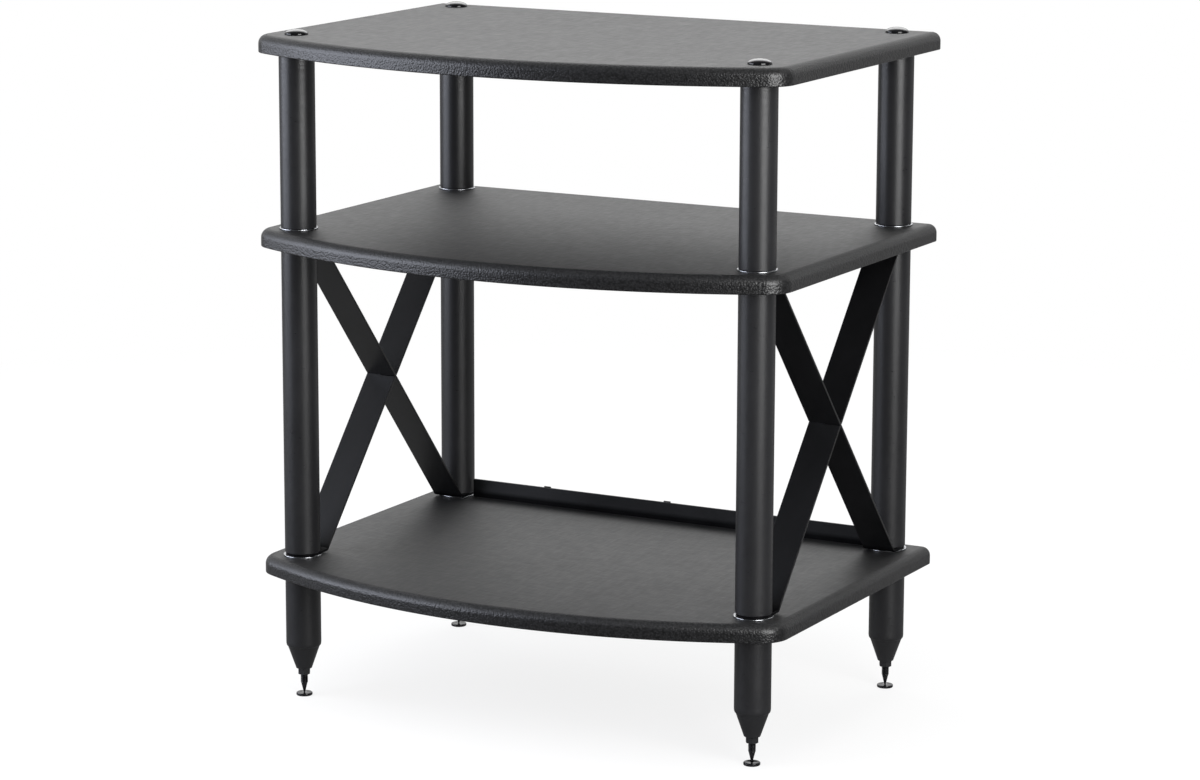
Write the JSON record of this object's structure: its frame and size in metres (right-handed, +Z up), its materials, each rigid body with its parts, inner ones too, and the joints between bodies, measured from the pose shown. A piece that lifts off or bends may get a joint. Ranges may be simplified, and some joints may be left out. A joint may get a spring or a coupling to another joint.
{
  "type": "audio equipment rack",
  "caption": "Free-standing audio rack: bow-fronted shelves on round tube pillars, crossed side braces, a rear record rail and adjustable spiked feet on floor discs.",
  "frame": {"origin": "on the floor under the middle of the shelves", "axes": "+Z up, front towards -Y, +X to the right when seen from the front"},
  "size_m": [0.6, 0.45, 0.701],
  "materials": {
    "board": "black melamine with a fine linen grain on the faces and a pebbled vinyl edge",
    "powder_coat": "satin black powder coat on steel",
    "brace_paint": "satin black paint on flat steel",
    "gloss_black": "gloss black plating",
    "plating": "bright plated ring",
    "zinc": "bright zinc on screws hidden in the tubes"
  },
  "bodies": {
    "rack": {"bottom_shelf": "board", "middle_shelf": "board", "top_shelf": "board", "front_left_foot_cone": "powder_coat", "front_left_foot_tube": "powder_coat", "front_left_lower_stud": "plating", "front_left_lower_tube": "powder_coat", "front_left_upper_stud": "zinc", "front_left_ring": "plating", "front_left_upper_tube": "powder_coat", "front_left_cap": "gloss_black", "front_right_foot_cone": "powder_coat", "front_right_foot_tube": "powder_coat", "front_right_lower_stud": "plating", "front_right_lower_tube": "powder_coat", "front_right_upper_stud": "zinc", "front_right_ring": "plating", "front_right_upper_tube": "powder_coat", "front_right_cap": "gloss_black", "rear_left_foot_cone": "powder_coat", "rear_left_foot_tube": "powder_coat", "rear_left_lower_stud": "plating", "rear_left_lower_tube": "powder_coat", "rear_left_upper_stud": "zinc", "rear_left_ring": "plating", "rear_left_upper_tube": "powder_coat", "rear_left_cap": "gloss_black", "rear_right_foot_cone": "powder_coat", "rear_right_foot_tube": "powder_coat", "rear_right_lower_stud": "plating", "rear_right_lower_tube": "powder_coat", "rear_right_upper_stud": "zinc", "rear_right_ring": "plating", "rear_right_upper_tube": "powder_coat", "rear_right_cap": "gloss_black", "left_rising_brace": "brace_paint", "left_falling_brace": "brace_paint", "right_rising_brace": "brace_paint", "right_falling_brace": "brace_paint", "record_rail": "brace_paint", "left_rail_bracket": "brace_paint", "left_rail_screw": "zinc", "middle_rail_bracket": "brace_paint", "middle_rail_screw": "zinc", "right_rail_bracket": "brace_paint", "right_rail_screw": "zinc"},
    "front_left_spike_body": {"front_left_spike": "gloss_black"},
    "front_left_lock_nut_body": {"front_left_lock_nut": "powder_coat"},
    "front_left_floor_disc_body": {"front_left_floor_disc": "gloss_black"},
    "front_right_spike_body": {"front_right_spike": "gloss_black"},
    "front_right_lock_nut_body": {"front_right_lock_nut": "powder_coat"},
    "front_right_floor_disc_body": {"front_right_floor_disc": "gloss_black"},
    "rear_left_spike_body": {"rear_left_spike": "gloss_black"},
    "rear_left_lock_nut_body": {"rear_left_lock_nut": "powder_coat"},
    "rear_left_floor_disc_body": {"rear_left_floor_disc": "gloss_black"},
    "rear_right_spike_body": {"rear_right_spike": "gloss_black"},
    "rear_right_lock_nut_body": {"rear_right_lock_nut": "powder_coat"},
    "rear_right_floor_disc_body": {"rear_right_floor_disc": "gloss_black"}
  },
  "joints": [
    {"name": "front_left_spike_thread", "type": "slide", "parent": "rack", "child": "front_left_spike_body", "axis": [0, 0, 1], "range_m": [-0.006, 0.008]},
    {"name": "front_left_lock_nut_thread", "type": "slide", "parent": "rack", "child": "front_left_lock_nut_body", "axis": [0, 0, 1], "range_m": [-0.01, 0]},
    {"name": "front_left_disc_swivel", "type": "hinge", "parent": "front_left_spike_body", "child": "front_left_floor_disc_body", "pos_m": [-0.2615, -0.12854, 0.003], "axis": [0, 0, 1], "continuous": true},
    {"name": "front_right_spike_thread", "type": "slide", "parent": "rack", "child": "front_right_spike_body", "axis": [0, 0, 1], "range_m": [-0.006, 0.008]},
    {"name": "front_right_lock_nut_thread", "type": "slide", "parent": "rack", "child": "front_right_lock_nut_body", "axis": [0, 0, 1], "range_m": [-0.01, 0]},
    {"name": "front_right_disc_swivel", "type": "hinge", "parent": "front_right_spike_body", "child": "front_right_floor_disc_body", "pos_m": [0.2615, -0.12854, 0.003], "axis": [0, 0, 1], "continuous": true},
    {"name": "rear_left_spike_thread", "type": "slide", "parent": "rack", "child": "rear_left_spike_body", "axis": [0, 0, 1], "range_m": [-0.006, 0.008]},
    {"name": "rear_left_lock_nut_thread", "type": "slide", "parent": "rack", "child": "rear_left_lock_nut_body", "axis": [0, 0, 1], "range_m": [-0.01, 0]},
    {"name": "rear_left_disc_swivel", "type": "hinge", "parent": "rear_left_spike_body", "child": "rear_left_floor_disc_body", "pos_m": [-0.2615, 0.1935, 0.003], "axis": [0, 0, 1], "continuous": true},
    {"name": "rear_right_spike_thread", "type": "slide", "parent": "rack", "child": "rear_right_spike_body", "axis": [0, 0, 1], "range_m": [-0.006, 0.008]},
    {"name": "rear_right_lock_nut_thread", "type": "slide", "parent": "rack", "child": "rear_right_lock_nut_body", "axis": [0, 0, 1], "range_m": [-0.01, 0]},
    {"name": "rear_right_disc_swivel", "type": "hinge", "parent": "rear_right_spike_body", "child": "rear_right_floor_disc_body", "pos_m": [0.2615, 0.1935, 0.003], "axis": [0, 0, 1], "continuous": true}
  ]
}
